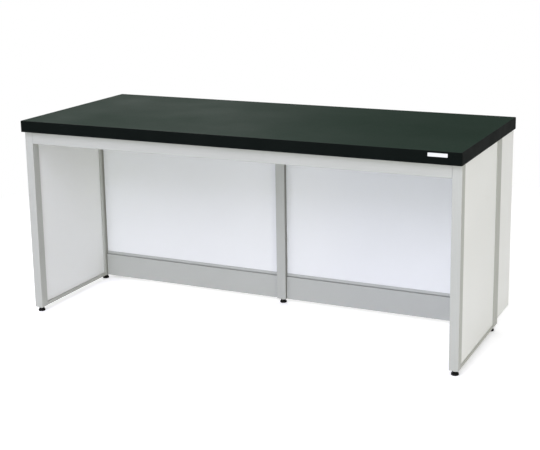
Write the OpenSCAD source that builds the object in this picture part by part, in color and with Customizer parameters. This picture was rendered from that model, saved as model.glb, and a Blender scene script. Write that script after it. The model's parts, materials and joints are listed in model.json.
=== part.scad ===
// Laboratory side bench with a pipe space. A laminate worktop lies on a frame of extruded
// aluminium profiles with panelled ends. The back wall is set forward of the worktop's rear
// edge, so that pipes and cables run behind it, between two side covers.
// Millimetres. X runs to the right, Y to the back and Z up. The origin is on the floor,
// under the middle of the worktop.

/* [Overall] */
// Width of the worktop
bench_w = 1800; // [1200:10:2400]
// Depth of the worktop
bench_d = 750; // [680:10:900]
// Height of the worktop's upper face above the floor
bench_h = 800; // [700:5:1000]

/* [Worktop] */
// Thickness of the worktop with both skins
worktop_t = 45; // [30:1:60]
// Thickness of the laminate on the upper face
laminate_t = 1.2; // [0.6:0.1:2]
// Thickness of the balancing sheet on the underside
backer_t = 0.8; // [0.5:0.1:2]
// Thickness of the edge bands
edge_band_t = 3; // [2:0.5:6]
// Radius of the worktop's upright corners
corner_r = 4; // [2:0.5:12]
// Bevel along the worktop's upper edges
edge_bevel = 1.5; // [0.5:0.1:2.5]
// How far the worktop stands out over the front of the frame
front_overhang = 20; // [5:1:40]
// How far the worktop stands out behind the pipe covers
back_overhang = 10; // [5:1:40]
// How far the worktop stands out over each end of the frame
side_overhang = 4; // [1:0.5:30]
// Width of the blank plate that is let into the front edge
plate_w = 70; // [40:1:120]
// Height of that plate
plate_h = 13; // [8:0.5:18]
// Thickness of that plate
plate_t = 1; // [0.6:0.1:1.5]
// From the plate to the right end of the worktop
plate_inset = 50; // [20:1:200]

/* [Posts] */
// Width of the corner posts, seen from the front
post_w = 35; // [33:1:50]
// Depth of the front posts
post_d = 38; // [37:1:60]
// How far the rear posts stand out before the face of the back wall
rear_post_front = 27; // [26:1:60]
// Depth of the part of a rear post that is behind the face of the back wall
rear_post_back = 36; // [34:1:60]
// Width of the centre post
centre_post_w = 39; // [38:1:60]
// How far the centre post stands out before the face of the back wall
centre_post_front = 21; // [20:1:40]
// Depth of the part of the centre post that is behind the face of the back wall
centre_post_back = 21; // [20:1:40]
// Wall thickness of the profiles
wall = 2; // [1.5:0.1:2.4]
// Radius along the outer edges of the profiles
profile_r = 1.5; // [0.5:0.1:2]
// From the front of the frame to the face of the back wall
wall_setback = 499; // [380:1:520]

/* [Rails] */
// Height of the top rails
rail_h = 49; // [40:1:65]
// Depth of the top rails
rail_d = 30; // [28:1:36]
// Height of the rail under each end panel
side_rail_h = 13; // [10:1:20]
// Height of the upper edge of the lower rails above the floor
lower_rail_top = 128; // [100:1:180]
// Height of the lip that shows under the back panels
lip_h = 10; // [6:0.5:14]
// Height of the shadow gap between that lip and the kick plate
shadow_gap = 3; // [2:0.5:12]
// Height of the hollow body of the lower rails
lower_rail_h = 34; // [24:1:40]
// Depth of the hollow body of the lower rails
lower_rail_d = 17; // [15:0.5:20]

/* [Panels] */
// Thickness of the end panels
side_panel_t = 25; // [18:0.5:26]
// Thickness of the back panels
back_panel_t = 8; // [5:0.5:9]
// Thickness of the pipe covers
cover_t = 20; // [12:0.5:24]
// Thickness of the band on the rear edge of a pipe cover
cover_edge_t = 1; // [0.5:0.1:3]
// Gap between a pipe cover and the floor
cover_clear = 36; // [20:1:150]
// Depth of the grooves that hold the end panels and the pipe covers
end_groove_d = 10; // [6:0.5:11]
// Depth of the grooves that hold the back panels
back_groove_d = 7; // [4.5:0.5:8]
// Gap between a panel and each side of its groove
panel_fit = 0.3; // [0.1:0.05:0.5]
// Gap left at the edge of a panel for fitting it
edge_play = 0.8; // [0.3:0.1:1.5]

/* [Kick plates] */
// Gap between a kick plate and the floor
kick_clear = 18; // [10:1:40]
// How far the kick plates stand out before the face of the back wall
kick_step = 8; // [4:0.5:14]
// Sheet thickness of the kick plates
kick_sheet_t = 1.5; // [1:0.1:2]
// Gap between a kick plate and the posts beside it
kick_play = 0.3; // [0.2:0.1:1]

/* [Feet] */
// Height of the feet below the posts
foot_h = 20; // [17:0.5:30]
// Height of the foot pads
pad_h = 13.3; // [11:0.1:15]
// Radius of the foot pads
pad_r = 14; // [13:0.5:17]
// Radius of the threaded studs
stud_r = 5; // [4:0.5:5.5]
// Width across the flats of the hexagon on each stud
hex_flats = 17; // [13:1:19]
// How far the feet screw out
foot_travel = 15; // [5:1:20]
// Height of the threaded inserts in the posts
insert_h = 25; // [15:1:40]
// Radial gap between a stud and its insert
thread_fit = 0.05; // [0.02:0.01:0.1]

/* [Hidden] */
$fn = 48;

// A little more than nothing, so that a cut runs past the face it opens
past = 1;

// Planes of the frame
frame_x = bench_w / 2 - side_overhang;
post_in_x = frame_x - post_w;
front_y = -bench_d / 2 + front_overhang;
wall_y = front_y + wall_setback;
cover_back_y = bench_d / 2 - back_overhang;
top_z = bench_h - worktop_t;
rail_z = top_z - rail_h;

// Plate in the front edge: its corners, its gap all round, the height of the edge above it,
// and the rim round its sunk field
plate_r = 2;
plate_fit = 0.1;
plate_drop = 6.2;
plate_rim = 1;
plate_sink = 0.3;

// End panels and pipe covers, measured inward from the frame's outer face
end_groove_w = side_panel_t + 2 * panel_fit;
cover_groove_w = cover_t + 2 * panel_fit;
panel_in = wall + panel_fit + side_panel_t;
cover_in = wall + panel_fit + cover_t;

// Rear posts, measured back from their front face
rear_post_y = wall_y - rear_post_front;
rear_post_d = rear_post_front + rear_post_back;
back_groove_w = back_panel_t + 2 * panel_fit;
shadow_line_w = 2;
shadow_line_d = 1;
rear_foot_front = end_groove_d + wall;
rear_foot_x = wall + shadow_line_d;
rear_foot_w = post_w - back_groove_d - wall - rear_foot_x;

// Strips in the posts' sides before the back panels
post_strip_w = 15;
centre_strip_w = 17;
strip_t = 2;

// Centre post, measured back from its front face
centre_post_y = wall_y - centre_post_front;
centre_post_d = centre_post_front + centre_post_back;
centre_foot_front = 12;
centre_foot_half = centre_post_w / 2 - back_groove_d - wall;

// The rear rail holds the upper edge of the back panels in a groove
rear_rail_lead = 6;
rear_rail_y = wall_y - rear_rail_lead;
rear_rail_groove_d = 8;

// Lower rails
lower_lip_t = 2.5;
lower_body_y = wall_y + wall;
lower_floor_z = lower_rail_top - lip_h + wall;
lower_body_z = lower_floor_z - lower_rail_h;
flange_h = 13;

// Kick plates
kick_y = wall_y - kick_step;
kick_top = lower_rail_top - lip_h - shadow_gap;
kick_hem_z = lower_body_z - flange_h + 3;
kick_return = 14;
kick_bend_r = kick_sheet_t + 1;

// Blocks that join the top rails. A thin collar shows between a plain rail and what it meets.
collar_t = 1;
block_fit = 0.15;
block_len = 30;
block_wall = 3;
block_base = 5;
block_screw_r = 2.5;
block_head_r = 4.7;
block_head_h = 3;
block_screw_gap = 20;
rail_mid_z = rail_z + rail_h / 2;
rear_cavity_z = rail_z + rear_rail_groove_d + wall;
rear_cavity_h = rail_h - rear_rail_groove_d - 2 * wall;
rear_mid_z = rear_cavity_z + rear_cavity_h / 2;
rear_screw_y = rear_rail_y + rail_d - wall - block_fit - block_wall - block_head_r;
bearer_w = rail_d;

// Small cleats behind the back wall
cleat_leg = 30;
cleat_t = 3;
cleat_w = 8;
cleat_y = wall_y + back_groove_w + wall;
cleat_hole = 20;

// Angle brackets that hold the worktop
bracket_leg = 40;
bracket_w = 40;
bracket_t = 3;
bracket_hole = 26;
bracket_screw_len = 14;
screw_out = 3;
screw_r = 2;
screw_head_r = 3.9;
screw_head_h = 2.4;
screw_gap = 0.1;
bay_x = bench_w / 4;
end_bracket_x = post_in_x - block_len - bracket_w;
bracket_places = [
    for (x = [-end_bracket_x, -bay_x, bay_x, end_bracket_x]) [x, front_y + rail_d, 0],
    for (x = [-end_bracket_x, -bay_x, bay_x, end_bracket_x]) [x, rear_rail_y + rail_d, 0],
    for (s = [-1, 1]) [s * (frame_x - panel_in), (front_y + wall_y) / 2, s * 90],
    for (s = [-1, 1]) [s * (frame_x - cover_in), (wall_y + cover_back_y) / 2, s * 90]
];

// Screws of the kick plates and of the end rails
kick_screw_x = [for (f = [0.12, 0.5, 0.88]) centre_post_w / 2 + f * (post_in_x - centre_post_w / 2)];
kick_screw_z = lower_body_z - flange_h / 2;
side_screw_y = [for (f = [0.1, 0.5, 0.9]) front_y + post_d + f * (rear_post_y - front_y - post_d)];
side_screw_len = 22;

// Feet. A rear foot's axis keeps a distance from the rear wall of its chamber.
foot_x = frame_x - post_w / 2;
foot_front_y = front_y + post_d / 2;
rear_foot_back = 8.6;
foot_rear_y = wall_y + back_groove_w - rear_foot_back;
foot_centre_y = centre_post_y + centre_post_d / 2;
foot_gap = 0.2;
stop_gap = 0.3;
neck_r = 4;
neck_len = 6;
insert_fit = 0.15;
stud_spare = 2;
stud_chamfer = 1;
pad_rim_h = 6;
pad_shoulder_h = 4;
pad_top_r = 10.5;
pad_chamfer = 1;

// A rectangle with round corners, its low corner at the origin
module round_rect(w, d, r) {
    translate([r, 0]) square([w - 2 * r, d]);
    translate([0, r]) square([w, d - 2 * r]);
    for (x = [r, w - r], y = [r, d - r]) translate([x, y]) circle(r = r);
}

// The left end is drawn, and the right end is its mirror image
module at_end(side) {
    mirror([side > 0 ? 1 : 0, 0, 0]) translate([-frame_x, 0, 0]) children();
}

// Worktop

// A slab with round upright corners and bevelled upper edges
module eased_slab() {
    w = bench_w;
    d = bench_d;
    t = worktop_t;
    c = edge_bevel;
    translate([0, 0, top_z]) {
        translate([-w / 2 + corner_r, 0, 0]) rotate([90, 0, 90]) linear_extrude(w - 2 * corner_r)
            polygon([[-d / 2, 0], [d / 2, 0], [d / 2, t - c], [d / 2 - c, t], [c - d / 2, t], [-d / 2, t - c]]);
        translate([0, d / 2 - corner_r, 0]) rotate([90, 0, 0]) linear_extrude(d - 2 * corner_r)
            polygon([[-w / 2, 0], [w / 2, 0], [w / 2, t - c], [w / 2 - c, t], [c - w / 2, t], [-w / 2, t - c]]);
        for (x = [corner_r - w / 2, w / 2 - corner_r], y = [corner_r - d / 2, d / 2 - corner_r])
            translate([x, y, 0]) rotate_extrude()
                polygon([[0, 0], [corner_r, 0], [corner_r, t - c], [corner_r - c, t], [0, t]]);
    }
}

// The part of the worktop inside the edge bands, between two heights
module inner_sheet(low, high) {
    translate([edge_band_t - bench_w / 2, edge_band_t - bench_d / 2, low])
        cube([bench_w - 2 * edge_band_t, bench_d - 2 * edge_band_t, high - low]);
}

module worktop_core() {
    color([0.55, 0.42, 0.28]) difference() {
        inner_sheet(top_z + backer_t, bench_h - laminate_t);
        bracket_holes_up();
    }
}

module worktop_laminate() {
    color([0.2, 0.24, 0.21]) inner_sheet(bench_h - laminate_t, bench_h);
}

module worktop_backer() {
    color([0.25, 0.26, 0.26]) difference() {
        inner_sheet(top_z, top_z + backer_t);
        bracket_holes_up();
    }
}

// An edge band with mitred ends. Direction [0, -1] is the front edge.
module edge_band(direction) {
    reach = direction[0] == 0 ? [bench_w / 2, bench_d / 2] : [bench_d / 2, bench_w / 2];
    angle = atan2(direction[0], -direction[1]);
    color([0.05, 0.06, 0.06]) intersection() {
        eased_slab();
        rotate([0, 0, angle]) translate([0, 0, top_z]) linear_extrude(worktop_t) polygon([
            [-reach[0], -reach[1]],
            [reach[0], -reach[1]],
            [reach[0] - edge_band_t, edge_band_t - reach[1]],
            [edge_band_t - reach[0], edge_band_t - reach[1]]
        ]);
    }
}

// A plate with round corners that stands upright in the front edge, grown by a gap all round
module upright_plate(gap, y, t) {
    translate([bench_w / 2 - plate_inset - plate_w - gap, y, bench_h - plate_drop - plate_h - gap])
        rotate([90, 0, 0]) linear_extrude(t) round_rect(plate_w + 2 * gap, plate_h + 2 * gap, plate_r + gap);
}

module edge_band_front() {
    difference() {
        edge_band([0, -1]);
        upright_plate(plate_fit, plate_t - bench_d / 2, plate_t + past);
    }
}

module name_plate() {
    color([0.86, 0.87, 0.87]) difference() {
        upright_plate(0, plate_t - bench_d / 2, plate_t);
        upright_plate(-plate_rim, plate_sink - bench_d / 2, plate_sink + past);
    }
}

// Profiles of the frame

// Groove for an end panel or a cover, open towards +Y, with the chamber of the lip beside it
module end_groove(groove_w, back) {
    lip_x = wall + groove_w + wall;
    translate([wall, back - end_groove_d]) square([groove_w, end_groove_d + past]);
    translate([lip_x, back - end_groove_d]) square([post_w - wall - lip_x, end_groove_d - wall]);
}

module front_post_section() {
    difference() {
        round_rect(post_w, post_d, profile_r);
        end_groove(end_groove_w, post_d);
        translate([wall, wall]) square([post_w - 2 * wall, post_d - end_groove_d - 2 * wall]);
    }
}

// The wide rear profile: groove for the end panel in front, groove for the back panel on the
// inner side, groove for the pipe cover behind, and a shadow line down the outer side
module rear_post_section() {
    mid = rear_post_d / 2;
    strip_in = post_w - strip_t;
    groove_in = post_w - back_groove_d;
    behind = rear_post_front + back_groove_w + wall;
    difference() {
        round_rect(post_w, rear_post_d, profile_r);
        mirror([0, 1]) end_groove(end_groove_w, 0);
        end_groove(cover_groove_w, rear_post_d);
        translate([strip_in, rear_post_front - post_strip_w]) square([strip_t + past, post_strip_w]);
        translate([groove_in, rear_post_front]) square([back_groove_d + past, back_groove_w]);
        translate([-past, mid - shadow_line_w / 2]) square([past + shadow_line_d, shadow_line_w]);
        translate([groove_in, rear_foot_front])
            square([strip_in - wall - groove_in, rear_post_front - wall - rear_foot_front]);
        translate([rear_foot_x, rear_foot_front])
            square([rear_foot_w, behind - rear_foot_front - wall]);
        translate([wall, behind])
            square([post_w - 2 * wall, rear_post_d - end_groove_d - wall - behind]);
    }
}

// The centre profile: a groove for a back panel on each side and a round-edged front
module centre_post_section() {
    half = centre_post_w / 2;
    strip_in = half - strip_t;
    groove_in = half - back_groove_d;
    behind = centre_post_front + back_groove_w + wall;
    difference() {
        translate([-half, 0]) round_rect(centre_post_w, centre_post_d, profile_r);
        for (s = [-1, 1]) mirror([s > 0 ? 0 : 1, 0]) {
            translate([strip_in, centre_post_front - centre_strip_w])
                square([strip_t + past, centre_strip_w]);
            translate([groove_in, centre_post_front]) square([back_groove_d + past, back_groove_w]);
            translate([groove_in, centre_foot_front])
                square([strip_in - wall - groove_in, centre_post_front - wall - centre_foot_front]);
        }
        translate([wall - strip_in, wall])
            square([2 * (strip_in - wall), centre_foot_front - 2 * wall]);
        translate([-centre_foot_half, centre_foot_front])
            square([2 * centre_foot_half, behind - wall - centre_foot_front]);
        translate([wall - half, behind]) square([centre_post_w - 2 * wall, centre_post_d - wall - behind]);
    }
}

module front_post(side) {
    color([0.78, 0.79, 0.79]) at_end(side) difference() {
        translate([0, front_y, foot_h]) linear_extrude(top_z - foot_h) front_post_section();
        for (z = block_screw_heights(rail_mid_z)) translate([post_w - wall - past, front_y + rail_d / 2, z])
            rotate([0, 90, 0]) cylinder(r = block_screw_r + screw_gap, h = wall + 2 * past);
    }
}

module rear_post(side) {
    color([0.74, 0.75, 0.73]) at_end(side) difference() {
        translate([0, rear_post_y, foot_h]) linear_extrude(top_z - foot_h) rear_post_section();
        for (z = block_screw_heights(rear_mid_z)) translate([post_w - wall - past, rear_screw_y, z])
            rotate([0, 90, 0]) cylinder(r = block_screw_r + screw_gap, h = wall + 2 * past);
        for (z = [lower_body_z - cleat_hole, rail_z - cleat_hole])
            translate([post_w + past, cleat_y + cleat_w / 2, z]) rotate([0, -90, 0]) screw_hole();
    }
}

module centre_post() {
    color([0.76, 0.77, 0.77]) difference() {
        translate([0, centre_post_y, foot_h]) linear_extrude(rail_z - foot_h) centre_post_section();
        for (s = [-1, 1], z = [lower_body_z - cleat_hole, rail_z - cleat_hole])
            translate([s * (centre_post_w / 2 + past), cleat_y + cleat_w / 2, z])
                rotate([0, -s * 90, 0]) screw_hole();
    }
}

// Rails

// Section of a top rail, its depth along X and its height along Y
module rail_section() {
    difference() {
        round_rect(rail_d, rail_h, profile_r);
        translate([wall, wall]) square([rail_d - 2 * wall, rail_h - 2 * wall]);
    }
}

// Section of the rear rail, with the groove for the back panels in its underside
module rear_rail_section() {
    groove_end = rear_rail_lead + back_groove_w;
    difference() {
        round_rect(rail_d, rail_h, profile_r);
        translate([rear_rail_lead, -past]) square([back_groove_w, rear_rail_groove_d + past]);
        translate([wall, rear_rail_groove_d + wall]) square([rail_d - 2 * wall, rear_cavity_h]);
        translate([wall, wall]) square([rear_rail_lead - 2 * wall, rear_rail_groove_d - wall]);
        translate([groove_end + wall, wall])
            square([rail_d - groove_end - 2 * wall, rear_rail_groove_d - wall]);
    }
}

// Stretch a section that is drawn in Y and Z along X, between two places
module along_x(from, to) {
    translate([from, 0, 0]) rotate([90, 0, 90]) linear_extrude(to - from) children();
}

module front_rail() {
    color([0.79, 0.8, 0.81]) difference() {
        translate([0, front_y, rail_z]) along_x(collar_t - post_in_x, post_in_x - collar_t) rail_section();
        bracket_holes_level();
        for (z = block_screw_heights(rail_mid_z)) translate([0, front_y + rail_d - wall - past, z])
            rotate([-90, 0, 0]) cylinder(r = block_screw_r + screw_gap, h = wall + 2 * past);
    }
}

module rear_rail() {
    color([0.77, 0.78, 0.78]) difference() {
        translate([0, rear_rail_y, rail_z]) along_x(-post_in_x, post_in_x) rear_rail_section();
        bracket_holes_level();
        for (z = block_screw_heights(rail_mid_z)) translate([0, rear_rail_y - past, z])
            rotate([-90, 0, 0]) cylinder(r = block_screw_r + screw_gap, h = wall + 2 * past);
        for (s = [-1, 1], x = [centre_post_w / 2 + cleat_hole, post_in_x - cleat_hole])
            translate([s * x, cleat_y + cleat_w / 2, rail_z - past]) screw_hole();
    }
}

// The bearer runs from the front rail to the rear rail, over the centre post
module centre_bearer() {
    from = front_y + rail_d + collar_t;
    to = rear_rail_y - collar_t;
    color([0.77, 0.78, 0.78]) translate([-bearer_w / 2, to, rail_z])
        rotate([90, 0, 0]) linear_extrude(to - from) rail_section();
}

// Section of a lower rail in Y and Z, measured from the face of the back wall and the floor
module lower_rail_section() {
    back = lower_body_y + lower_rail_d;
    lip_y = wall_y - lower_lip_t;
    difference() {
        union() {
            translate([lower_body_y, lower_body_z]) square([lower_rail_d, lower_rail_h]);
            translate([lip_y, lower_floor_z - wall]) square([back - lip_y, wall]);
            translate([lip_y, lower_floor_z - wall]) square([lower_lip_t, lip_h]);
            translate([wall_y + back_groove_w, lower_floor_z - wall]) square([wall, lip_h]);
            translate([lower_body_y, lower_body_z - flange_h]) square([wall, flange_h]);
        }
        translate([lower_body_y + wall, lower_body_z + wall])
            square([lower_rail_d - 2 * wall, lower_rail_h - 2 * wall]);
    }
}

module lower_rail(side) {
    color([0.72, 0.73, 0.74]) mirror([side > 0 ? 0 : 1, 0, 0]) difference() {
        along_x(centre_post_w / 2, post_in_x) lower_rail_section();
        for (x = kick_screw_x) translate([x, lower_body_y - past, kick_screw_z])
            rotate([-90, 0, 0]) screw_hole();
        for (x = [centre_post_w / 2 + cleat_hole, post_in_x - cleat_hole])
            translate([x, cleat_y + cleat_w / 2, lower_body_z - past]) screw_hole();
    }
}

// The rail under an end panel is a channel with a closed lip beside the panel
module side_rail(side) {
    lip_x = wall + end_groove_w + wall;
    from = front_y + post_d;
    color([0.72, 0.72, 0.68]) at_end(side) difference() {
        translate([0, rear_post_y, foot_h]) rotate([90, 0, 0]) linear_extrude(rear_post_y - from)
            difference() {
                round_rect(post_w, side_rail_h, profile_r / 2);
                translate([wall, wall]) square([end_groove_w, side_rail_h]);
                translate([lip_x, wall]) square([post_w - wall - lip_x, side_rail_h - 2 * wall]);
            }
        side_rail_screw_shapes(screw_gap);
    }
}

// Panels

module side_panel(side) {
    from = front_y + post_d - end_groove_d + edge_play;
    to = rear_post_y + end_groove_d - edge_play;
    low = foot_h + wall;
    color([0.9, 0.9, 0.89]) difference() {
        at_end(side) difference() {
            translate([wall + panel_fit, from, low]) cube([side_panel_t, to - from, top_z - low]);
            side_rail_screw_shapes(screw_gap);
        }
        bracket_holes_level();
    }
}

module back_panel(side) {
    from = centre_post_w / 2 - back_groove_d + edge_play;
    to = post_in_x + back_groove_d - edge_play;
    high = rail_z + rear_rail_groove_d - edge_play;
    color([0.9, 0.91, 0.92]) mirror([side > 0 ? 0 : 1, 0, 0])
        translate([from, wall_y + panel_fit, lower_floor_z])
            cube([to - from, back_panel_t, high - lower_floor_z]);
}

// A quarter of a bend in sheet, about the origin, towards the signs of side
module sheet_bend(t, r, side) {
    intersection() {
        difference() {
            circle(r = r);
            circle(r = r - t);
        }
        translate([min(0, side[0] * r), min(0, side[1] * r)]) square(r);
    }
}

// Section of a kick plate, folded from sheet: a face, a return at the foot, and at the top a
// return with a hem that lies against the flange of the lower rail
module kick_plate_section() {
    t = kick_sheet_t;
    r = kick_bend_r;
    translate([kick_y, kick_clear + r]) square([t, kick_top - kick_clear - 2 * r]);
    translate([kick_y + r, kick_clear]) square([kick_return - r, t]);
    translate([kick_y + r, kick_top - t]) square([lower_body_y - kick_y - 2 * r, t]);
    translate([lower_body_y - t, kick_hem_z]) square([t, kick_top - r - kick_hem_z]);
    translate([kick_y + r, kick_clear + r]) sheet_bend(t, r, [-1, -1]);
    translate([kick_y + r, kick_top - r]) sheet_bend(t, r, [-1, 1]);
    translate([lower_body_y - r, kick_top - r]) sheet_bend(t, r, [1, 1]);
}

module kick_plate(side) {
    color([0.72, 0.73, 0.73]) mirror([side > 0 ? 0 : 1, 0, 0]) difference() {
        along_x(centre_post_w / 2 + kick_play, post_in_x - kick_play) kick_plate_section();
        for (x = kick_screw_x) translate([x, lower_body_y - kick_sheet_t - past, kick_screw_z])
            rotate([-90, 0, 0]) screw_hole();
    }
}

module pipe_cover(side) {
    from = wall_y + rear_post_back - end_groove_d + edge_play;
    to = cover_back_y - cover_edge_t;
    color([0.87, 0.87, 0.86]) difference() {
        at_end(side) translate([wall + panel_fit, from, cover_clear])
            cube([cover_t, to - from, top_z - cover_clear]);
        bracket_holes_level();
    }
}

module cover_edge(side) {
    color([0.9, 0.9, 0.89]) at_end(side)
        translate([wall + panel_fit, cover_back_y - cover_edge_t, cover_clear])
            cube([cover_t, cover_edge_t, top_z - cover_clear]);
}

// Dark strips that fill the recesses before the back panels
module post_strip(side) {
    color([0.3, 0.29, 0.26]) at_end(side) translate([post_w - strip_t, wall_y - post_strip_w, foot_h])
        cube([strip_t, post_strip_w, rail_z - foot_h]);
}

module centre_post_strips() {
    color([0.3, 0.29, 0.26]) for (s = [-1, 1]) mirror([s > 0 ? 0 : 1, 0, 0])
        translate([centre_post_w / 2 - strip_t, wall_y - centre_strip_w, foot_h])
            cube([strip_t, centre_strip_w, rail_z - foot_h]);
}

// Blocks, cleats, brackets and screws

function block_screw_heights(mid) = [mid - block_screw_gap / 2, mid + block_screw_gap / 2];

// A hole for a small screw, from the face of the piece along +Z
module screw_hole() {
    cylinder(r = screw_r + screw_gap, h = wall + 2 * past);
}

// A pan head screw. Its shank runs along +Z from under the head, which is at z = 0.
module pan_screw(r, length, head_r, head_h) {
    cylinder(r = r, h = length);
    translate([0, 0, -head_h]) cylinder(r1 = head_r * 0.8, r2 = head_r, h = head_h);
}

// A cup that stands in the end of a rail, with its base at z = 0 and its mouth along +Z.
// Its children are joined to it at the base.
module rail_block(w, h, shift) {
    inner_w = w - 2 * block_wall;
    inner_h = h - 2 * block_wall;
    difference() {
        union() {
            translate([-w / 2, -h / 2, 0]) cube([w, h, block_len]);
            children();
        }
        translate([-inner_w / 2, -inner_h / 2, block_base]) cube([inner_w, inner_h, block_len]);
        for (s = [-1, 1]) translate([shift, s * block_screw_gap / 2, -past])
            cylinder(r = block_screw_r + screw_gap, h = block_base + 2 * past);
    }
}

module block_screws(shift) {
    for (s = [-1, 1]) translate([shift, s * block_screw_gap / 2, block_base]) mirror([0, 0, 1])
        pan_screw(block_screw_r, block_base + wall + screw_out, block_head_r, block_head_h);
}

// Where the blocks are: the ends of the front rail, of the rear rail and of the bearer.
// Child 0 stands in a plain rail and child 1 in the rear rail.
module at_rail_ends() {
    for (s = [-1, 1]) {
        translate([s * post_in_x, front_y + rail_d / 2, rail_mid_z]) rotate([90, 0, -s * 90]) children(0);
        translate([s * post_in_x, rear_rail_y + rail_d / 2, rear_mid_z])
            rotate([90, 0, -s * 90]) mirror([s > 0 ? 1 : 0, 0, 0]) children(1);
    }
    translate([0, front_y + rail_d, rail_mid_z]) rotate([-90, 0, 0]) children(0);
    translate([0, rear_rail_y, rail_mid_z]) rotate([90, 0, 0]) children(0);
}

module rail_end_blocks() {
    w = rail_d - 2 * wall - 2 * block_fit;
    h = rail_h - 2 * wall - 2 * block_fit;
    color([0.5, 0.51, 0.52]) at_rail_ends() {
        rail_block(w, h, 0)
            translate([-rail_d / 2, -rail_h / 2, 0]) linear_extrude(collar_t) round_rect(rail_d, rail_h, profile_r);
        rail_block(w, rear_cavity_h - 2 * block_fit, rear_screw_y - rear_rail_y - rail_d / 2);
    }
}

module rail_block_screws() {
    color([0.6, 0.6, 0.6]) at_rail_ends() {
        block_screws(0);
        block_screws(rear_screw_y - rear_rail_y - rail_d / 2);
    }
}

// A bent angle: one leg lies up against z = 0 and runs along +X, the other hangs down from x = 0
module angle_piece(leg, t, w, hole) {
    difference() {
        rotate([90, 0, 0]) translate([0, 0, -w / 2]) linear_extrude(w) difference() {
            translate([0, -leg]) round_rect(leg, leg, t / 2);
            translate([t, -leg - t]) round_rect(leg, leg, t / 2);
            translate([t, -leg - past]) square([leg, leg / 2]);
            translate([leg / 2, -leg]) square([leg, leg - t]);
        }
        translate([hole, 0, -t - past]) cylinder(r = screw_r + 0.3, h = t + 2 * past);
        translate([-past, 0, -hole]) rotate([0, 90, 0]) cylinder(r = screw_r + 0.3, h = t + 2 * past);
    }
}

module angle_screws(t, hole, length) {
    translate([hole, 0, -t]) pan_screw(screw_r, length, screw_head_r, screw_head_h);
    translate([t, 0, -hole]) rotate([0, -90, 0]) pan_screw(screw_r, length, screw_head_r, screw_head_h);
}

// Where the cleats are: under both ends of each lower rail and of the rear rail's two bays
module at_cleats() {
    for (s = [-1, 1], z = [lower_body_z, rail_z]) mirror([s > 0 ? 0 : 1, 0, 0])
        translate([0, cleat_y + cleat_w / 2, z]) {
            translate([centre_post_w / 2, 0, 0]) children();
            translate([post_in_x, 0, 0]) mirror([1, 0, 0]) children();
        }
}

module cleats() {
    color([0.55, 0.56, 0.57]) at_cleats() angle_piece(cleat_leg, cleat_t, cleat_w, cleat_hole);
}

module cleat_screws() {
    color([0.6, 0.6, 0.6]) at_cleats() angle_screws(cleat_t, cleat_hole, cleat_t + wall + screw_out);
}

module at_brackets() {
    for (p = bracket_places) translate([p[0], p[1], top_z]) rotate([0, 0, p[2] + 90]) children();
}

module top_brackets() {
    color([0.55, 0.56, 0.57]) at_brackets() angle_piece(bracket_leg, bracket_t, bracket_w, bracket_hole);
}

module top_bracket_screws() {
    color([0.6, 0.6, 0.6]) at_brackets() angle_screws(bracket_t, bracket_hole, bracket_screw_len);
}

// Holes for the bracket screws, up into the worktop and level into what carries the bracket
module bracket_holes_up() {
    at_brackets() translate([bracket_hole, 0, -past])
        cylinder(r = screw_r + screw_gap, h = bracket_screw_len - bracket_t + past + 0.5);
}

module bracket_holes_level() {
    at_brackets() translate([past, 0, -bracket_hole]) rotate([0, -90, 0])
        cylinder(r = screw_r + screw_gap, h = bracket_screw_len - bracket_t + past + 0.5);
}

module kick_plate_screws() {
    color([0.6, 0.6, 0.6]) for (s = [-1, 1], x = kick_screw_x)
        translate([s * x, lower_body_y + wall, kick_screw_z]) rotate([90, 0, 0])
            pan_screw(screw_r, wall + kick_sheet_t + screw_out, screw_head_r, screw_head_h);
}

// Countersunk screws from under an end rail up into its panel, at the left end
module side_rail_screw_shapes(gap) {
    for (y = side_screw_y) translate([wall + panel_fit + side_panel_t / 2, y, foot_h]) {
        cylinder(r = screw_r + gap, h = side_screw_len + gap);
        cylinder(r1 = screw_r + wall + gap, r2 = screw_r + gap, h = wall);
    }
}

module side_rail_screws() {
    color([0.6, 0.6, 0.6]) for (s = [-1, 1]) at_end(s) side_rail_screw_shapes(0);
}

// Feet

// A threaded block in the lower end of a post: its chamber's size, and the stud's place in it
module foot_insert(size, hole) {
    difference() {
        translate([insert_fit, insert_fit, foot_h])
            cube([size[0] - 2 * insert_fit, size[1] - 2 * insert_fit, insert_h]);
        translate([hole[0], hole[1], foot_h - past])
            cylinder(r = stud_r + thread_fit, h = insert_h + 2 * past);
    }
}

module foot_inserts() {
    front_chamber = [post_w - 2 * wall, post_d - end_groove_d - 2 * wall];
    rear_chamber = [rear_foot_w, rear_post_front + back_groove_w - rear_foot_front];
    centre_chamber = [2 * centre_foot_half, centre_post_front + back_groove_w - centre_foot_front];
    color([0.45, 0.45, 0.46]) {
        for (s = [-1, 1]) at_end(s) {
            translate([wall, front_y + wall, 0])
                foot_insert(front_chamber, [post_w / 2 - wall, post_d / 2 - wall]);
            translate([rear_foot_x, rear_post_y + rear_foot_front, 0])
                foot_insert(rear_chamber, [post_w / 2 - rear_foot_x, rear_chamber[1] - rear_foot_back]);
        }
        translate([-centre_foot_half, centre_post_y + centre_foot_front, 0])
            foot_insert(centre_chamber, [centre_foot_half, centre_post_d / 2 - centre_foot_front]);
    }
}

// A round pad with a domed shoulder and a socket for the stud's neck
module foot_pad(place) {
    shoulder_z = pad_rim_h + pad_shoulder_h;
    color([0.06, 0.06, 0.06]) translate([place[0], place[1], 0]) rotate_extrude() difference() {
        polygon([
            [0, 0],
            [pad_r - pad_chamfer, 0],
            [pad_r, pad_chamfer],
            [pad_r, pad_rim_h],
            [pad_top_r, shoulder_z],
            [pad_top_r, pad_h],
            [0, pad_h]
        ]);
        translate([0, pad_h - neck_len - foot_gap]) square([neck_r + thread_fit, neck_len + past]);
    }
}

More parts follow.
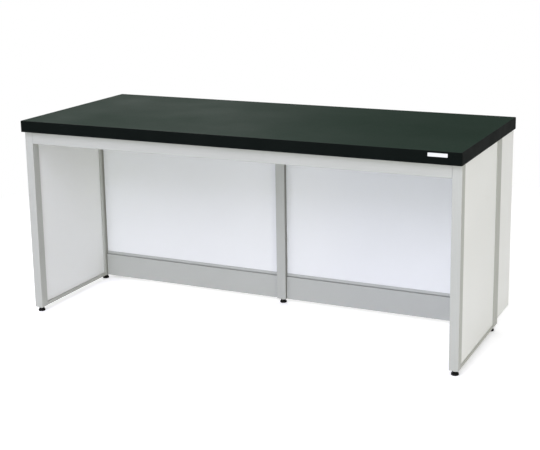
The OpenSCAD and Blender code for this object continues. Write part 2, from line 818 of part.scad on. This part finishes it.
// A stud with a hexagon above the pad and a neck that turns in it
module foot_stud(place) {
    hex_z = pad_h + foot_gap;
    hex_h = foot_h - stop_gap - hex_z;
    tip = foot_h + insert_h + foot_travel - stud_spare;
    color([0.62, 0.62, 0.6]) translate([place[0], place[1], 0]) {
        translate([0, 0, hex_z - neck_len]) cylinder(r = neck_r, h = neck_len);
        translate([0, 0, hex_z]) cylinder(r = hex_flats / 2 / cos(30), h = hex_h, $fn = 6);
        translate([0, 0, hex_z + hex_h]) cylinder(r = stud_r, h = tip - stud_chamfer - hex_z - hex_h);
        translate([0, 0, tip - stud_chamfer])
            cylinder(r1 = stud_r, r2 = stud_r - stud_chamfer, h = stud_chamfer);
    }
}

front_left = [-foot_x, foot_front_y];
front_right = [foot_x, foot_front_y];
rear_left = [-foot_x, foot_rear_y];
rear_right = [foot_x, foot_rear_y];
rear_centre = [0, foot_centre_y];

worktop_core();
worktop_laminate();
worktop_backer();
edge_band_front();
edge_band([0, 1]);  // edge_band_back
edge_band([-1, 0]);  // edge_band_left
edge_band([1, 0]);  // edge_band_right
name_plate();
front_post(-1);  // front_post_left
front_post(1);  // front_post_right
rear_post(-1);  // rear_post_left
rear_post(1);  // rear_post_right
centre_post();
front_rail();
rear_rail();
centre_bearer();
lower_rail(-1);  // lower_rail_left
lower_rail(1);  // lower_rail_right
side_rail(-1);  // side_rail_left
side_rail(1);  // side_rail_right
side_panel(-1);  // side_panel_left
side_panel(1);  // side_panel_right
back_panel(-1);  // back_panel_left
back_panel(1);  // back_panel_right
kick_plate(-1);  // kick_plate_left
kick_plate(1);  // kick_plate_right
pipe_cover(-1);  // pipe_cover_left
pipe_cover(1);  // pipe_cover_right
cover_edge(-1);  // cover_edge_left
cover_edge(1);  // cover_edge_right
post_strip(-1);  // post_strip_left
post_strip(1);  // post_strip_right
centre_post_strips();
rail_end_blocks();
rail_block_screws();
cleats();
cleat_screws();
top_brackets();
top_bracket_screws();
kick_plate_screws();
side_rail_screws();
foot_inserts();
foot_pad(front_left);  // foot_pad_front_left
foot_pad(front_right);  // foot_pad_front_right
foot_pad(rear_left);  // foot_pad_rear_left
foot_pad(rear_right);  // foot_pad_rear_right
foot_pad(rear_centre);  // foot_pad_rear_centre
foot_stud(front_left);  // foot_stud_front_left
foot_stud(front_right);  // foot_stud_front_right
foot_stud(rear_left);  // foot_stud_rear_left
foot_stud(rear_right);  // foot_stud_rear_right
foot_stud(rear_centre);  // foot_stud_rear_centre
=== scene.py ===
import json
import math

import bpy
from mathutils import Matrix, Vector


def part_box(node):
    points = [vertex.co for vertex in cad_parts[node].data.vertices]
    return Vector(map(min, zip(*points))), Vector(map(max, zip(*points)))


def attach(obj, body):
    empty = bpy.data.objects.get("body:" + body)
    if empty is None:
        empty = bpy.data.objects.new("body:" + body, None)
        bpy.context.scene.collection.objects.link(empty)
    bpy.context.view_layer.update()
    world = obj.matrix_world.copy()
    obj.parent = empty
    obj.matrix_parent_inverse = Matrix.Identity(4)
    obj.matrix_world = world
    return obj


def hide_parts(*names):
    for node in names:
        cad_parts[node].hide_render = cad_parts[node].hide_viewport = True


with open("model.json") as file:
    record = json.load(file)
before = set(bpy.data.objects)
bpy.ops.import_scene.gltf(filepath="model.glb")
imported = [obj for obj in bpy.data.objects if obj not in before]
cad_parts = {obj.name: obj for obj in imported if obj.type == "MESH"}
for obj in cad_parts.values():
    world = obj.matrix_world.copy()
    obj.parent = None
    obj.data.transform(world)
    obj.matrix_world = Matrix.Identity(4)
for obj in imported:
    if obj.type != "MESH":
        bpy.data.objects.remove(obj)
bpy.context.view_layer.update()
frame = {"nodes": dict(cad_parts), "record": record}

FEET = ("front_left", "front_right", "rear_left", "rear_right", "rear_centre")
WHITE = (1.0, 1.0, 1.0, 1.0)


# Materials

# Dust thins out up to this height above the floor
DUST = (0.52, 0.5, 0.47, 1.0)
DUST_HEIGHT = 0.16
# Edges are rubbed over this width, paler by the shade and smoother by the roughness
WORN_EDGE = 0.0015
WORN_LEAST = 0.2
WORN_SHADE = 1.25
WORN_ROUGHNESS = -0.08


class Tree:
    """The node tree of one new material, with short ways to add the nodes that they all use."""

    def __init__(self, name):
        self.material = bpy.data.materials.new(name)
        self.material.use_nodes = True
        self.nodes = self.material.node_tree.nodes
        self.links = self.material.node_tree.links
        self.shader = self.nodes["Principled BSDF"]

    def add(self, kind, values=None, **settings):
        node = self.nodes.new("ShaderNode" + kind)
        for name, value in settings.items():
            setattr(node, name, value)
        for name, value in (values or {}).items():
            self.put(node.inputs[name], value)
        return node

    def put(self, socket, value):
        if isinstance(value, bpy.types.NodeSocket):
            self.links.new(value, socket)
        else:
            socket.default_value = value

    def place(self, stretch=(1, 1, 1)):
        """Coordinates in metres, in the part's frame, each multiplied by its stretch."""
        coords = self.add("TexCoord").outputs["Object"]
        return self.add("Mapping", {"Vector": coords, "Scale": stretch}).outputs["Vector"]

    def noise(self, place, size, detail=3.0, roughness=0.55):
        """Smooth noise whose blobs are about size metres across."""
        values = {"Vector": place, "Scale": 1 / size, "Detail": detail, "Roughness": roughness}
        return self.add("TexNoise", values).outputs["Fac"]

    def spread(self, value, low, high, start=0.3, end=0.7):
        """The value from start to end, carried over to the range from low to high."""
        values = {"Value": value, "From Min": start, "From Max": end, "To Min": low, "To Max": high}
        return self.add("MapRange", values).outputs["Result"]

    def mix(self, factor, first, second, blend="MIX"):
        """Two colours mixed. The node has sockets of one name for several kinds of value, so
        those for colours are told by their numbers."""
        node = self.add("Mix", data_type="RGBA", blend_type=blend)
        for index, value in ((0, factor), (6, first), (7, second)):
            self.put(node.inputs[index], value)
        return node.outputs[2]

    def math(self, operation, first, second):
        node = self.add("Math", operation=operation)
        self.put(node.inputs[0], first)
        self.put(node.inputs[1], second)
        return node.outputs[0]

    def bump(self, height, depth, under=None):
        values = {"Height": height, "Distance": depth, "Strength": 1.0}
        if under is not None:
            values["Normal"] = under
        return self.add("Bump", values).outputs["Normal"]

    def edges(self, radius, turned=0.8):
        """0 on flat faces and up to 1 within radius of an edge, where the rounded normal has
        turned so far that the cosine between it and the true one is down to turned."""
        soft = self.add("Bevel", {"Radius": radius}, samples=4).outputs["Normal"]
        sharp = self.add("NewGeometry").outputs["Normal"]
        node = self.add("VectorMath", operation="DOT_PRODUCT")
        self.put(node.inputs[0], soft)
        self.put(node.inputs[1], sharp)
        return self.spread(node.outputs["Value"], 1.0, 0.0, turned, 1.0)


def shade(color, factor):
    return tuple(channel * factor for channel in color[:3]) + (1.0,)


def surface(name, color, roughness, metallic=0.0, specular=0.5, mottle=0.04, mottle_size=0.12,
            grain=0.03, grain_size=0.0012, grain_depth=2e-5, wave_size=0.02, wave_depth=0.0,
            rough_spread=0.05, stretch=(1, 1, 1), wear=0.0, wear_color=None, dust=0.0):
    """A worn, slightly uneven surface: blotches, a fine grain with its relief, a slow wave,
    patches of other gloss, rubbed edges and a trace of dust near the floor."""
    tree = Tree(name)
    even = tree.place()
    drawn = tree.place(stretch)
    blotch = tree.spread(tree.noise(even, mottle_size), 0.0, 1.0)
    fine = tree.noise(drawn, grain_size, detail=2.0)
    result = tree.mix(blotch, shade(color, 1 - mottle), shade(color, 1 + mottle))
    speck = tree.spread(fine, 1 - grain, 1 + grain)
    grey = tree.add("CombineColor", {"Red": speck, "Green": speck, "Blue": speck})
    result = tree.mix(1.0, result, grey.outputs["Color"], "MULTIPLY")
    patch_size = 0.6 * mottle_size
    patches = tree.noise(even, patch_size, detail=5.0)
    rough = tree.spread(patches, roughness - rough_spread, roughness + rough_spread)
    if dust:
        height = tree.add("SeparateXYZ", {"Vector": even}).outputs["Z"]
        low = tree.math("MULTIPLY", tree.spread(height, 1.0, 0.0, 0.0, DUST_HEIGHT), dust)
        result = tree.mix(tree.math("MULTIPLY", low, patches), result, DUST)
    if wear:
        uneven = tree.spread(patches, WORN_LEAST, 1.0)
        rubbed = tree.math("MULTIPLY", tree.edges(WORN_EDGE), uneven)
        mask = tree.math("MULTIPLY", rubbed, wear)
        result = tree.mix(mask, result, wear_color or shade(color, WORN_SHADE))
        rough = tree.math("ADD", rough, tree.math("MULTIPLY", mask, WORN_ROUGHNESS))
    normal = tree.bump(fine, grain_depth)
    if wave_depth:
        normal = tree.bump(tree.noise(drawn, wave_size, detail=1.0), wave_depth, normal)
    shader = tree.shader
    tree.put(shader.inputs["Base Color"], result)
    tree.put(shader.inputs["Roughness"], rough)
    tree.put(shader.inputs["Normal"], normal)
    tree.put(shader.inputs["Metallic"], metallic)
    tree.put(shader.inputs["Specular IOR Level"], specular)
    return tree.material


def profile(name, axis, color):
    """Satin silver coating over an extrusion, with faint die lines along the axis."""
    line_stretch = 0.012
    stretch = tuple(line_stretch if i == axis else 1.0 for i in range(3))
    return surface(
        name, color, roughness=0.5, metallic=0.2, specular=0.2, mottle=0.015, mottle_size=0.3,
        grain=0.022, grain_size=0.0016, grain_depth=1.2e-5, stretch=stretch,
        rough_spread=0.03, wear=0.3, wear_color=(0.72, 0.72, 0.72, 1.0), dust=0.12)


X, Y, Z = range(3)
SILVER = (0.422, 0.43, 0.411)
UPRIGHT = profile("silver_upright", Z, SILVER)
LONG_RAIL = profile("silver_long_rail", X, SILVER)
BEARER = profile("silver_bearer", Y, SILVER)
# The side rails get a darker, warmer copy of the same silver: painted shade for the rails seen
# side-lit
SHADED_SIDE_RAIL = profile("silver_side_rail_painted_shade", Y, (0.402, 0.408, 0.382))
# The lower rails get a lighter copy of the same silver: painted light on them under the bench
LIT_LOWER_RAIL = profile("silver_lower_rail_painted_light", X, (0.459, 0.47, 0.456))
RAILS = {
    "front_rail": LONG_RAIL,
    "rear_rail": LONG_RAIL,
    "centre_bearer": BEARER,
    "side_rail_left": SHADED_SIDE_RAIL,
    "side_rail_right": SHADED_SIDE_RAIL,
    "lower_rail_left": LIT_LOWER_RAIL,
    "lower_rail_right": LIT_LOWER_RAIL,
}

SLOTS = {
    "worktop_laminate": surface(
        "dark_laminate", (0.0166, 0.0314, 0.0214), roughness=0.62, specular=0.004, mottle=0.06,
        mottle_size=0.5, grain=0.16, grain_size=0.0022, grain_depth=5e-5, wave_size=0.014,
        wave_depth=6e-6, rough_spread=0.05),
    "worktop_edge": surface(
        "black_edge_band", (0.0045, 0.0062, 0.0056), roughness=0.5, specular=0.008, mottle=0.08,
        grain=0.1, grain_size=0.0018, grain_depth=3e-5, wear=0.3,
        wear_color=(0.03, 0.036, 0.033, 1.0), rough_spread=0.06),
    "worktop_core": surface(
        "particle_board", (0.52, 0.38, 0.23), roughness=0.8, specular=0.2, mottle=0.15,
        mottle_size=0.03, grain=0.3, grain_size=0.004, grain_depth=1.5e-4),
    "worktop_backer": surface(
        "balancing_sheet", (0.09, 0.09, 0.088), roughness=0.62, specular=0.3, mottle=0.08,
        grain=0.1, grain_size=0.002, grain_depth=4e-5, rough_spread=0.08),
    "white_board": surface(
        "white_melamine", (0.795, 0.805, 0.815), roughness=0.45, specular=0.3, mottle=0.008,
        mottle_size=0.35, grain=0.01, grain_size=0.0024, grain_depth=2.5e-5, wave_size=0.012,
        wave_depth=5e-6, rough_spread=0.07, dust=0.1),
    "white_edge": surface(
        "white_edge_band", (0.79, 0.79, 0.775), roughness=0.4, specular=0.3, mottle=0.01,
        grain=0.012, grain_depth=1.5e-5, rough_spread=0.05),
    "blank_plate": surface(
        "white_plate", (0.66, 0.67, 0.67), roughness=0.3, specular=0.4, mottle=0.01,
        mottle_size=0.01, grain=0.01, grain_size=0.0006, grain_depth=4e-6, wear=0.2),
    "kick_sheet": surface(
        "grey_powder_coat", (0.434, 0.445, 0.425), roughness=0.55, specular=0.25, mottle=0.015,
        mottle_size=0.25, grain=0.035, grain_size=0.0014, grain_depth=4e-5, wave_size=0.006,
        wave_depth=1.2e-5, rough_spread=0.06, dust=0.16, wear=0.25),
    # The strips between posts and panels: their dark colour is painted shade of the gap there,
    # darker still for the shade under the worktop
    "dark_strip": surface(
        "dark_strip_painted_shade", (0.228, 0.228, 0.21), roughness=0.55, specular=0.3, mottle=0.04,
        grain=0.06, grain_size=0.0015, stretch=(1, 1, 0.02), grain_depth=3e-5),
    "joint_block": surface(
        "die_cast_block", (0.3, 0.3, 0.3), roughness=0.5, metallic=1.0, mottle=0.05, grain=0.06,
        grain_size=0.001, grain_depth=4e-5),
    "plated_angle": surface(
        "zinc_plated_angle", (0.56, 0.57, 0.58), roughness=0.36, metallic=1.0, mottle=0.06,
        mottle_size=0.02, grain=0.05, grain_size=0.0012, rough_spread=0.1, wear=0.4),
    "plated_steel": surface(
        "zinc_plated_screw", (0.6, 0.6, 0.59), roughness=0.3, metallic=1.0, mottle=0.05,
        mottle_size=0.01, grain=0.04, grain_size=0.0008, rough_spread=0.08),
    "foot_plastic": surface(
        "black_nylon", (0.004, 0.004, 0.004), roughness=0.5, specular=0.06, mottle=0.1,
        mottle_size=0.02, grain=0.15, grain_size=0.0009, grain_depth=3e-5, dust=0.01),
    "foot_steel": surface(
        "zinc_plated_stud", (0.5, 0.5, 0.48), roughness=0.33, metallic=1.0, mottle=0.06,
        mottle_size=0.01, grain=0.06, grain_size=0.0007, rough_spread=0.1, wear=0.4),
}

SLOT_OF = {part["node"]: part["material_slot"] for part in frame["record"]["subparts"]}


def dress(obj, material):
    obj.data.materials.clear()
    obj.data.materials.append(material)


for node, obj in frame["nodes"].items():
    slot = SLOT_OF[node]
    dress(obj, RAILS.get(node, UPRIGHT) if slot == "frame_profile" else SLOTS[slot])


# The studs of the feet, with their threads

def piece(name, verts, faces, material, body):
    mesh = bpy.data.meshes.new(name)
    mesh.from_pydata(verts, [], faces)
    mesh.validate()
    mesh.update()
    obj = bpy.data.objects.new(name, mesh)
    bpy.context.scene.collection.objects.link(obj)
    dress(obj, material)
    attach(obj, body)
    return obj


def stacked(x, y, rings, sides):
    """Points and faces of a closed body about a vertical line at x, y. Each ring has its height
    and its radius at an angle."""
    verts, faces = [], []
    for z, radius in rings:
        for i in range(sides):
            angle = 2 * math.pi * i / sides
            verts.append((x + radius(angle) * math.cos(angle),
                          y + radius(angle) * math.sin(angle), z))
    for ring in range(len(rings) - 1):
        for i in range(sides):
            j = (i + 1) % sides
            faces.append((ring * sides + i, ring * sides + j,
                          (ring + 1) * sides + j, (ring + 1) * sides + i))
    faces.append(tuple(reversed(range(sides))))
    faces.append(tuple((len(rings) - 1) * sides + i for i in range(sides)))
    return verts, faces


def hexagon(flats, corner):
    """The radius at an angle of a hexagon that is flats from its middle to each side, with its
    corners cut off at corner from the middle."""
    def radius(angle):
        offset = (angle + math.pi / 6) % (math.pi / 3) - math.pi / 6
        return min(flats / math.cos(offset), corner)
    return radius


def thread(minor_r, major_r, pitch, z):
    """The radius at an angle of a thread cut across at height z. Its crest is a flat band, and
    its root is sharp."""
    crest_share = 0.375

    def radius(angle):
        phase = (z / pitch - angle / (2 * math.pi)) % 1.0
        rise = (0.5 - abs(phase - 0.5)) / (0.5 - crest_share / 2)
        return minor_r + (major_r - minor_r) * min(1.0, rise)
    return radius


def stud(foot):
    """A levelling stud: a neck in the pad, a chamfered hexagon and a cut thread above it."""
    node = f"foot_stud_{foot}"
    low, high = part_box(node)
    neck_r, neck_high = 0.004, 0.006
    hex_high, chamfer_r, chamfer_high = 0.0062, 0.0007, 0.0006
    minor_r, major_r, pitch = 0.0042, 0.005, 0.0015
    tip_high, tip_r = 0.001, 0.0003
    sides, rows_per_turn = 36, 10

    flats = (high[1] - low[1]) / 2
    corner = flats / math.cos(math.pi / 6)
    hex_low = low[2] + neck_high
    hex_top = hex_low + hex_high
    full, cut = hexagon(flats, corner), hexagon(flats, corner - chamfer_r)
    rings = [
        (low[2], lambda angle: neck_r),
        (hex_low, lambda angle: neck_r),
        (hex_low, cut),
        (hex_low + chamfer_high, full),
        (hex_top - chamfer_high, full),
        (hex_top, cut),
    ]
    rows = int((high[2] - tip_high - hex_top) / pitch * rows_per_turn)
    for row in range(rows + 1):
        z = hex_top + row * pitch / rows_per_turn
        rings.append((z, thread(minor_r, major_r, pitch, z)))
    rings.append((high[2], lambda angle: minor_r - tip_r))
    verts, faces = stacked((low[0] + high[0]) / 2, (low[1] + high[1]) / 2, rings, sides)
    obj = piece(f"threaded_stud_{foot}", verts, faces, SLOTS["foot_steel"],
                f"stud_{foot}")
    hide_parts(node)


for foot in FEET:
    stud(foot)


# Stage, lights and camera

def shows_background(nodes, links):
    """1 for rays from the camera, off gloss and through glass, and 0 for the light's own."""
    path = nodes.new("ShaderNodeLightPath")
    result = path.outputs["Is Camera Ray"]
    for name in ("Is Glossy Ray", "Is Transmission Ray"):
        either = nodes.new("ShaderNodeMath")
        either.operation = "MAXIMUM"
        links.new(result, either.inputs[0])
        links.new(path.outputs[name], either.inputs[1])
        result = either.outputs[0]
    return result


def paper():
    """Pale, matt and a little lifted where it is seen, so that only the shadow shows on it, and
    plain white further out. It turns white over the distances named, in metres."""
    pale, lift = (0.9, 0.9, 0.9, 1.0), 0.4
    pale_to, white_from = 1.2, 2.6
    tree = Tree("pale_floor")
    seen = shows_background(tree.nodes, tree.links)
    away = tree.add("VectorMath", {"Vector": tree.place()}, operation="LENGTH").outputs["Value"]
    far = tree.spread(away, 0.0, 1.0, pale_to, white_from)
    near = tree.shader
    tree.put(near.inputs["Base Color"], pale)
    tree.put(near.inputs["Roughness"], 1.0)
    tree.put(near.inputs["Specular IOR Level"], 0.0)
    tree.put(near.inputs["Emission Color"], WHITE)
    tree.put(near.inputs["Emission Strength"], tree.math("MULTIPLY", seen, lift))
    plain = tree.add("Emission", {"Color": WHITE, "Strength": 1.0})
    both = tree.add("MixShader", {"Fac": tree.math("MULTIPLY", far, seen)})
    tree.links.new(near.outputs["BSDF"], both.inputs[1])
    tree.links.new(plain.outputs["Emission"], both.inputs[2])
    tree.links.new(both.outputs["Shader"], tree.nodes["Material Output"].inputs["Surface"])
    return tree.material


def sheet(name, circles, material, thickness=0.0):
    """A flat sheet whose top is at floor level: the first circle, less the others."""
    sides = 64
    curve = bpy.data.curves.new(name, "CURVE")
    curve.dimensions = "2D"
    curve.fill_mode = "BOTH"
    curve.extrude = thickness / 2
    for x, y, radius in circles:
        spline = curve.splines.new("POLY")
        spline.points.add(sides - 1)
        for i, point in enumerate(spline.points):
            angle = 2 * math.pi * i / sides
            point.co = (x + radius * math.cos(angle), y + radius * math.sin(angle), 0.0, 1.0)
        spline.use_cyclic_u = True
    obj = bpy.data.objects.new(name, curve)
    obj.location = (0.0, 0.0, -thickness / 2)
    bpy.context.scene.collection.objects.link(obj)
    dress(obj, material)
    return obj


def floor():
    """The floor, with a round patch under each foot that goes down with its pad, as where a
    floor is uneven."""
    reach, patch_r, depth = 60.0, 0.07, 0.03
    material = paper()
    patches = []
    for foot in FEET:
        low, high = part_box(f"foot_pad_{foot}")
        patches.append(((low[0] + high[0]) / 2, (low[1] + high[1]) / 2, patch_r))
    sheet("floor", [(0.0, 0.0, reach)] + patches, material, depth)
    for foot, patch in zip(FEET, patches):
        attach(sheet(f"floor_patch_{foot}", [patch], material), f"pad_{foot}")


def sky(level):
    """White where it is seen, and light of the given level on the object."""
    world = bpy.data.worlds.new("studio")
    world.use_nodes = True
    bpy.context.scene.world = world
    nodes, links = world.node_tree.nodes, world.node_tree.links
    strength = nodes.new("ShaderNodeMapRange")
    links.new(shows_background(nodes, links), strength.inputs["Value"])
    strength.inputs["To Min"].default_value = level
    strength.inputs["To Max"].default_value = 1.0
    background = nodes["Background"]
    background.inputs["Color"].default_value = WHITE
    links.new(strength.outputs["Result"], background.inputs["Strength"])


def lamp(name, place, target, size, watts, color=WHITE[:3]):
    """A softbox at place that faces the target, with its width and height in metres."""
    data = bpy.data.lights.new(name, "AREA")
    data.shape = "RECTANGLE"
    data.size, data.size_y = size
    data.energy = watts
    data.color = color
    obj = bpy.data.objects.new(name, data)
    obj.location = place
    obj.rotation_euler = (Vector(target) - Vector(place)).to_track_quat("-Z", "Y").to_euler()
    bpy.context.scene.collection.objects.link(obj)


def camera(place, yaw, pitch, roll, focal, middle):
    """A camera from a fit on a frame of 540 by 450 pixels. Its angles are in degrees, and its
    focal length and the picture's middle in pixels."""
    width, height, sensor, sight = 540, 450, 36.0, 300.0
    yaw, pitch, roll = (math.radians(angle) for angle in (yaw, pitch, roll))
    forward = Vector((-math.sin(yaw) * math.cos(pitch), math.cos(yaw) * math.cos(pitch),
                      math.sin(pitch)))
    level = Vector((math.cos(yaw), math.sin(yaw), 0.0))
    upright = level.cross(forward)
    right = level * math.cos(roll) + upright * math.sin(roll)
    up = upright * math.cos(roll) - level * math.sin(roll)
    data = bpy.data.cameras.new("camera")
    data.sensor_width = sensor
    data.lens = focal * sensor / width
    data.shift_x = (width / 2 - middle[0]) / width
    data.shift_y = (middle[1] - height / 2) / width
    data.clip_end = sight
    obj = bpy.data.objects.new("camera", data)
    turn = Matrix((right, up, -forward)).transposed().to_4x4()
    obj.matrix_world = Matrix.Translation(place) @ turn
    bpy.context.scene.collection.objects.link(obj)
    bpy.context.scene.camera = obj


floor()
sky(0.542)
lamp("overhead", (0.0, -3.8, 3.6), (0.0, -1.2, 0.0), (3.0, 3.0), 144, (0.843, 0.825, 1.0))
lamp("front", (1.5, -7.0, 1.0), (0.0, 0.0, 0.4), (3.0, 1.6), 101, (0.916, 1.0, 0.989))
lamp("right", (5.5, -3.0, 0.4), (0.5, 0.0, 0.3), (2.6, 1.0), 64, (1.0, 0.948, 0.552))
lamp("left", (-6.0, -3.5, 1.2), (0.0, 0.0, 0.4), (2.6, 1.6), 56)
lamp("rear", (-3.0, 4.0, 2.6), (0.0, 0.0, 0.7), (2.5, 1.5), 110)
camera((1.935, -4.041, 1.577), 25.41, -12.42, -0.91, 1157.3, (270.0, 171.0))

bpy.context.scene.view_settings.view_transform = "Standard"
